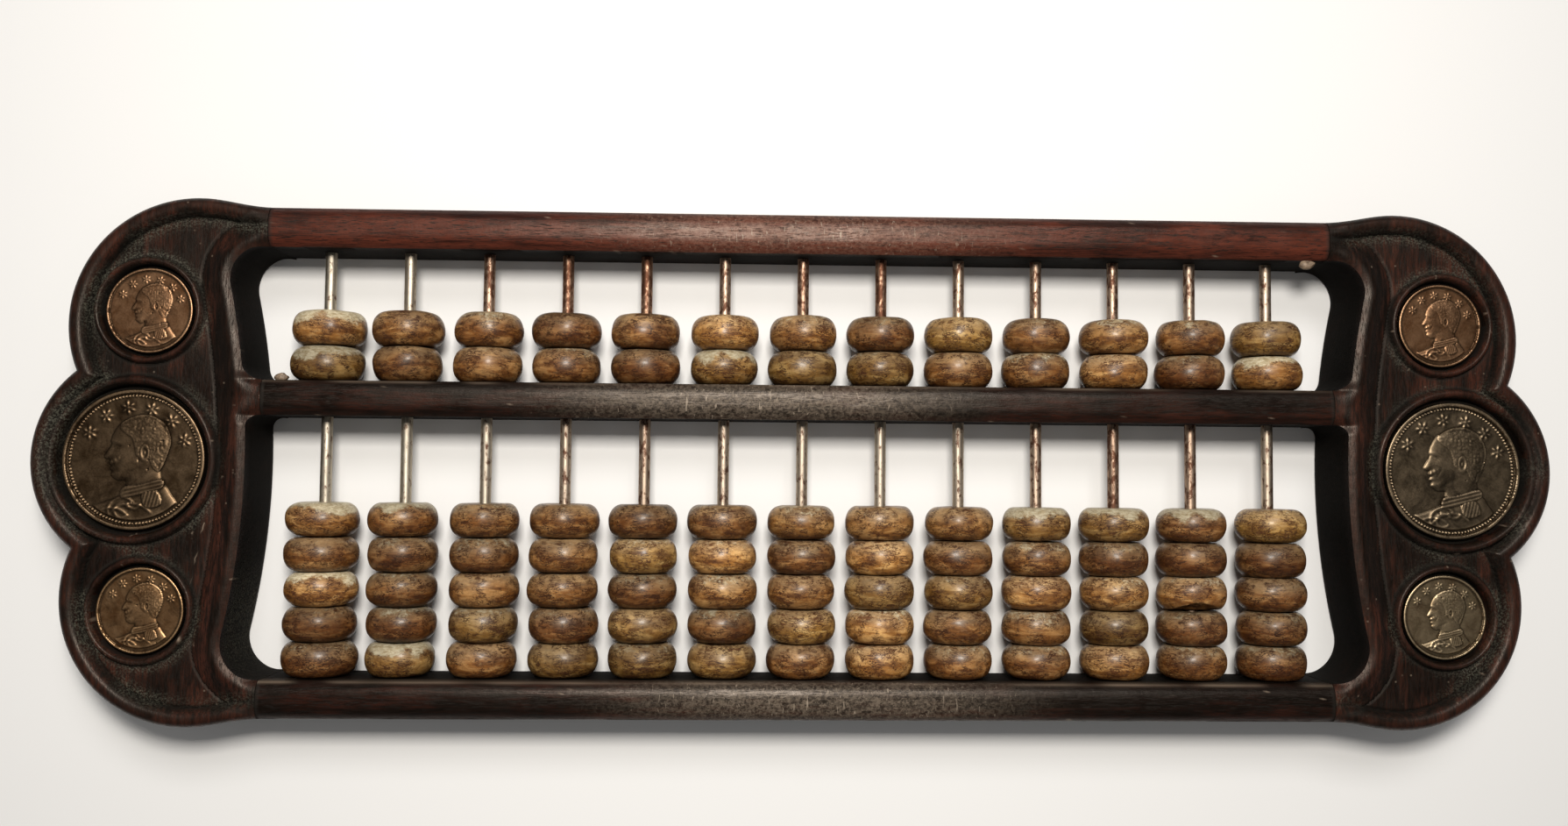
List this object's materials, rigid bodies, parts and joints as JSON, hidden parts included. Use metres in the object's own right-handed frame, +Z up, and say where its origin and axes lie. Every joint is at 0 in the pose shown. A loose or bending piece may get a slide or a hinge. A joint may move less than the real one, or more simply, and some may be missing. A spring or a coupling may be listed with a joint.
{
  "type": "abacus",
  "caption": "Flat bead-frame abacus with carved lobed end boards, a divider beam, metal rods, sliding stone beads and inlaid coins.",
  "frame": {"origin": "middle of the underside, on the surface the abacus lies on", "axes": "+X along the length, to the right with the upper deck away from the user; +Y along the rods, towards the upper deck; +Z up, out of the face with the coins"},
  "size_m": [0.424, 0.1454, 0.024],
  "materials": {
    "carved_wood": "worn satin, dark rosewood",
    "red_wood": "worn satin, reddish rosewood",
    "dark_wood": "worn satin, dark rosewood",
    "rod_metal": "aged, slightly tarnished",
    "large_coin_metal": "toned silver",
    "small_coin_metal": "toned, worn",
    "bead_stone": "polished, mottled"
  },
  "bodies": {
    "frame": {"left_end_board": "carved_wood", "right_end_board": "carved_wood", "top_rail": "red_wood", "bottom_rail": "dark_wood", "divider_beam": "dark_wood", "rods": "rod_metal", "large_coins": "large_coin_metal", "small_coins": "small_coin_metal"},
    "heaven_bead_low_01": {"heaven_bead_low_01": "bead_stone"},
    "heaven_bead_high_01": {"heaven_bead_high_01": "bead_stone"},
    "earth_beads_low_01": {"earth_beads_low_01": "bead_stone"},
    "earth_bead_high_01": {"earth_bead_high_01": "bead_stone"},
    "heaven_bead_low_02": {"heaven_bead_low_02": "bead_stone"},
    "heaven_bead_high_02": {"heaven_bead_high_02": "bead_stone"},
    "earth_beads_low_02": {"earth_beads_low_02": "bead_stone"},
    "earth_bead_high_02": {"earth_bead_high_02": "bead_stone"},
    "heaven_bead_low_03": {"heaven_bead_low_03": "bead_stone"},
    "heaven_bead_high_03": {"heaven_bead_high_03": "bead_stone"},
    "earth_beads_low_03": {"earth_beads_low_03": "bead_stone"},
    "earth_bead_high_03": {"earth_bead_high_03": "bead_stone"},
    "heaven_bead_low_04": {"heaven_bead_low_04": "bead_stone"},
    "heaven_bead_high_04": {"heaven_bead_high_04": "bead_stone"},
    "earth_beads_low_04": {"earth_beads_low_04": "bead_stone"},
    "earth_bead_high_04": {"earth_bead_high_04": "bead_stone"},
    "heaven_bead_low_05": {"heaven_bead_low_05": "bead_stone"},
    "heaven_bead_high_05": {"heaven_bead_high_05": "bead_stone"},
    "earth_beads_low_05": {"earth_beads_low_05": "bead_stone"},
    "earth_bead_high_05": {"earth_bead_high_05": "bead_stone"},
    "heaven_bead_low_06": {"heaven_bead_low_06": "bead_stone"},
    "heaven_bead_high_06": {"heaven_bead_high_06": "bead_stone"},
    "earth_beads_low_06": {"earth_beads_low_06": "bead_stone"},
    "earth_bead_high_06": {"earth_bead_high_06": "bead_stone"},
    "heaven_bead_low_07": {"heaven_bead_low_07": "bead_stone"},
    "heaven_bead_high_07": {"heaven_bead_high_07": "bead_stone"},
    "earth_beads_low_07": {"earth_beads_low_07": "bead_stone"},
    "earth_bead_high_07": {"earth_bead_high_07": "bead_stone"},
    "heaven_bead_low_08": {"heaven_bead_low_08": "bead_stone"},
    "heaven_bead_high_08": {"heaven_bead_high_08": "bead_stone"},
    "earth_beads_low_08": {"earth_beads_low_08": "bead_stone"},
    "earth_bead_high_08": {"earth_bead_high_08": "bead_stone"},
    "heaven_bead_low_09": {"heaven_bead_low_09": "bead_stone"},
    "heaven_bead_high_09": {"heaven_bead_high_09": "bead_stone"},
    "earth_beads_low_09": {"earth_beads_low_09": "bead_stone"},
    "earth_bead_high_09": {"earth_bead_high_09": "bead_stone"},
    "heaven_bead_low_10": {"heaven_bead_low_10": "bead_stone"},
    "heaven_bead_high_10": {"heaven_bead_high_10": "bead_stone"},
    "earth_beads_low_10": {"earth_beads_low_10": "bead_stone"},
    "earth_bead_high_10": {"earth_bead_high_10": "bead_stone"},
    "heaven_bead_low_11": {"heaven_bead_low_11": "bead_stone"},
    "heaven_bead_high_11": {"heaven_bead_high_11": "bead_stone"},
    "earth_beads_low_11": {"earth_beads_low_11": "bead_stone"},
    "earth_bead_high_11": {"earth_bead_high_11": "bead_stone"},
    "heaven_bead_low_12": {"heaven_bead_low_12": "bead_stone"},
    "heaven_bead_high_12": {"heaven_bead_high_12": "bead_stone"},
    "earth_beads_low_12": {"earth_beads_low_12": "bead_stone"},
    "earth_bead_high_12": {"earth_bead_high_12": "bead_stone"},
    "heaven_bead_low_13": {"heaven_bead_low_13": "bead_stone"},
    "heaven_bead_high_13": {"heaven_bead_high_13": "bead_stone"},
    "earth_beads_low_13": {"earth_beads_low_13": "bead_stone"},
    "earth_bead_high_13": {"earth_bead_high_13": "bead_stone"}
  },
  "joints": [
    {"name": "heaven_bead_low_slide_01", "type": "slide", "parent": "frame", "child": "heaven_bead_low_01", "axis": [0, 1, 0], "range_m": [0, 0.0167]},
    {"name": "heaven_bead_high_slide_01", "type": "slide", "parent": "heaven_bead_low_01", "child": "heaven_bead_high_01", "axis": [0, -1, 0], "range_m": [-0.0167, 0]},
    {"name": "earth_beads_low_slide_01", "type": "slide", "parent": "frame", "child": "earth_beads_low_01", "axis": [0, 1, 0], "range_m": [0, 0.02385]},
    {"name": "earth_bead_high_slide_01", "type": "slide", "parent": "earth_beads_low_01", "child": "earth_bead_high_01", "axis": [0, -1, 0], "range_m": [-0.02385, 0]},
    {"name": "heaven_bead_low_slide_02", "type": "slide", "parent": "frame", "child": "heaven_bead_low_02", "axis": [0, 1, 0], "range_m": [0, 0.0167]},
    {"name": "heaven_bead_high_slide_02", "type": "slide", "parent": "heaven_bead_low_02", "child": "heaven_bead_high_02", "axis": [0, -1, 0], "range_m": [-0.0167, 0]},
    {"name": "earth_beads_low_slide_02", "type": "slide", "parent": "frame", "child": "earth_beads_low_02", "axis": [0, 1, 0], "range_m": [0, 0.02385]},
    {"name": "earth_bead_high_slide_02", "type": "slide", "parent": "earth_beads_low_02", "child": "earth_bead_high_02", "axis": [0, -1, 0], "range_m": [-0.02385, 0]},
    {"name": "heaven_bead_low_slide_03", "type": "slide", "parent": "frame", "child": "heaven_bead_low_03", "axis": [0, 1, 0], "range_m": [0, 0.0167]},
    {"name": "heaven_bead_high_slide_03", "type": "slide", "parent": "heaven_bead_low_03", "child": "heaven_bead_high_03", "axis": [0, -1, 0], "range_m": [-0.0167, 0]},
    {"name": "earth_beads_low_slide_03", "type": "slide", "parent": "frame", "child": "earth_beads_low_03", "axis": [0, 1, 0], "range_m": [0, 0.02385]},
    {"name": "earth_bead_high_slide_03", "type": "slide", "parent": "earth_beads_low_03", "child": "earth_bead_high_03", "axis": [0, -1, 0], "range_m": [-0.02385, 0]},
    {"name": "heaven_bead_low_slide_04", "type": "slide", "parent": "frame", "child": "heaven_bead_low_04", "axis": [0, 1, 0], "range_m": [0, 0.0167]},
    {"name": "heaven_bead_high_slide_04", "type": "slide", "parent": "heaven_bead_low_04", "child": "heaven_bead_high_04", "axis": [0, -1, 0], "range_m": [-0.0167, 0]},
    {"name": "earth_beads_low_slide_04", "type": "slide", "parent": "frame", "child": "earth_beads_low_04", "axis": [0, 1, 0], "range_m": [0, 0.02385]},
    {"name": "earth_bead_high_slide_04", "type": "slide", "parent": "earth_beads_low_04", "child": "earth_bead_high_04", "axis": [0, -1, 0], "range_m": [-0.02385, 0]},
    {"name": "heaven_bead_low_slide_05", "type": "slide", "parent": "frame", "child": "heaven_bead_low_05", "axis": [0, 1, 0], "range_m": [0, 0.0167]},
    {"name": "heaven_bead_high_slide_05", "type": "slide", "parent": "heaven_bead_low_05", "child": "heaven_bead_high_05", "axis": [0, -1, 0], "range_m": [-0.0167, 0]},
    {"name": "earth_beads_low_slide_05", "type": "slide", "parent": "frame", "child": "earth_beads_low_05", "axis": [0, 1, 0], "range_m": [0, 0.02385]},
    {"name": "earth_bead_high_slide_05", "type": "slide", "parent": "earth_beads_low_05", "child": "earth_bead_high_05", "axis": [0, -1, 0], "range_m": [-0.02385, 0]},
    {"name": "heaven_bead_low_slide_06", "type": "slide", "parent": "frame", "child": "heaven_bead_low_06", "axis": [0, 1, 0], "range_m": [0, 0.0167]},
    {"name": "heaven_bead_high_slide_06", "type": "slide", "parent": "heaven_bead_low_06", "child": "heaven_bead_high_06", "axis": [0, -1, 0], "range_m": [-0.0167, 0]},
    {"name": "earth_beads_low_slide_06", "type": "slide", "parent": "frame", "child": "earth_beads_low_06", "axis": [0, 1, 0], "range_m": [0, 0.02385]},
    {"name": "earth_bead_high_slide_06", "type": "slide", "parent": "earth_beads_low_06", "child": "earth_bead_high_06", "axis": [0, -1, 0], "range_m": [-0.02385, 0]},
    {"name": "heaven_bead_low_slide_07", "type": "slide", "parent": "frame", "child": "heaven_bead_low_07", "axis": [0, 1, 0], "range_m": [0, 0.0167]},
    {"name": "heaven_bead_high_slide_07", "type": "slide", "parent": "heaven_bead_low_07", "child": "heaven_bead_high_07", "axis": [0, -1, 0], "range_m": [-0.0167, 0]},
    {"name": "earth_beads_low_slide_07", "type": "slide", "parent": "frame", "child": "earth_beads_low_07", "axis": [0, 1, 0], "range_m": [0, 0.02385]},
    {"name": "earth_bead_high_slide_07", "type": "slide", "parent": "earth_beads_low_07", "child": "earth_bead_high_07", "axis": [0, -1, 0], "range_m": [-0.02385, 0]},
    {"name": "heaven_bead_low_slide_08", "type": "slide", "parent": "frame", "child": "heaven_bead_low_08", "axis": [0, 1, 0], "range_m": [0, 0.0167]},
    {"name": "heaven_bead_high_slide_08", "type": "slide", "parent": "heaven_bead_low_08", "child": "heaven_bead_high_08", "axis": [0, -1, 0], "range_m": [-0.0167, 0]},
    {"name": "earth_beads_low_slide_08", "type": "slide", "parent": "frame", "child": "earth_beads_low_08", "axis": [0, 1, 0], "range_m": [0, 0.02385]},
    {"name": "earth_bead_high_slide_08", "type": "slide", "parent": "earth_beads_low_08", "child": "earth_bead_high_08", "axis": [0, -1, 0], "range_m": [-0.02385, 0]},
    {"name": "heaven_bead_low_slide_09", "type": "slide", "parent": "frame", "child": "heaven_bead_low_09", "axis": [0, 1, 0], "range_m": [0, 0.0167]},
    {"name": "heaven_bead_high_slide_09", "type": "slide", "parent": "heaven_bead_low_09", "child": "heaven_bead_high_09", "axis": [0, -1, 0], "range_m": [-0.0167, 0]},
    {"name": "earth_beads_low_slide_09", "type": "slide", "parent": "frame", "child": "earth_beads_low_09", "axis": [0, 1, 0], "range_m": [0, 0.02385]},
    {"name": "earth_bead_high_slide_09", "type": "slide", "parent": "earth_beads_low_09", "child": "earth_bead_high_09", "axis": [0, -1, 0], "range_m": [-0.02385, 0]},
    {"name": "heaven_bead_low_slide_10", "type": "slide", "parent": "frame", "child": "heaven_bead_low_10", "axis": [0, 1, 0], "range_m": [0, 0.0167]},
    {"name": "heaven_bead_high_slide_10", "type": "slide", "parent": "heaven_bead_low_10", "child": "heaven_bead_high_10", "axis": [0, -1, 0], "range_m": [-0.0167, 0]},
    {"name": "earth_beads_low_slide_10", "type": "slide", "parent": "frame", "child": "earth_beads_low_10", "axis": [0, 1, 0], "range_m": [0, 0.02385]},
    {"name": "earth_bead_high_slide_10", "type": "slide", "parent": "earth_beads_low_10", "child": "earth_bead_high_10", "axis": [0, -1, 0], "range_m": [-0.02385, 0]},
    {"name": "heaven_bead_low_slide_11", "type": "slide", "parent": "frame", "child": "heaven_bead_low_11", "axis": [0, 1, 0], "range_m": [0, 0.0167]},
    {"name": "heaven_bead_high_slide_11", "type": "slide", "parent": "heaven_bead_low_11", "child": "heaven_bead_high_11", "axis": [0, -1, 0], "range_m": [-0.0167, 0]},
    {"name": "earth_beads_low_slide_11", "type": "slide", "parent": "frame", "child": "earth_beads_low_11", "axis": [0, 1, 0], "range_m": [0, 0.02385]},
    {"name": "earth_bead_high_slide_11", "type": "slide", "parent": "earth_beads_low_11", "child": "earth_bead_high_11", "axis": [0, -1, 0], "range_m": [-0.02385, 0]},
    {"name": "heaven_bead_low_slide_12", "type": "slide", "parent": "frame", "child": "heaven_bead_low_12", "axis": [0, 1, 0], "range_m": [0, 0.0167]},
    {"name": "heaven_bead_high_slide_12", "type": "slide", "parent": "heaven_bead_low_12", "child": "heaven_bead_high_12", "axis": [0, -1, 0], "range_m": [-0.0167, 0]},
    {"name": "earth_beads_low_slide_12", "type": "slide", "parent": "frame", "child": "earth_beads_low_12", "axis": [0, 1, 0], "range_m": [0, 0.02385]},
    {"name": "earth_bead_high_slide_12", "type": "slide", "parent": "earth_beads_low_12", "child": "earth_bead_high_12", "axis": [0, -1, 0], "range_m": [-0.02385, 0]},
    {"name": "heaven_bead_low_slide_13", "type": "slide", "parent": "frame", "child": "heaven_bead_low_13", "axis": [0, 1, 0], "range_m": [0, 0.0167]},
    {"name": "heaven_bead_high_slide_13", "type": "slide", "parent": "heaven_bead_low_13", "child": "heaven_bead_high_13", "axis": [0, -1, 0], "range_m": [-0.0167, 0]},
    {"name": "earth_beads_low_slide_13", "type": "slide", "parent": "frame", "child": "earth_beads_low_13", "axis": [0, 1, 0], "range_m": [0, 0.02385]},
    {"name": "earth_bead_high_slide_13", "type": "slide", "parent": "earth_beads_low_13", "child": "earth_bead_high_13", "axis": [0, -1, 0], "range_m": [-0.02385, 0]}
  ]
}
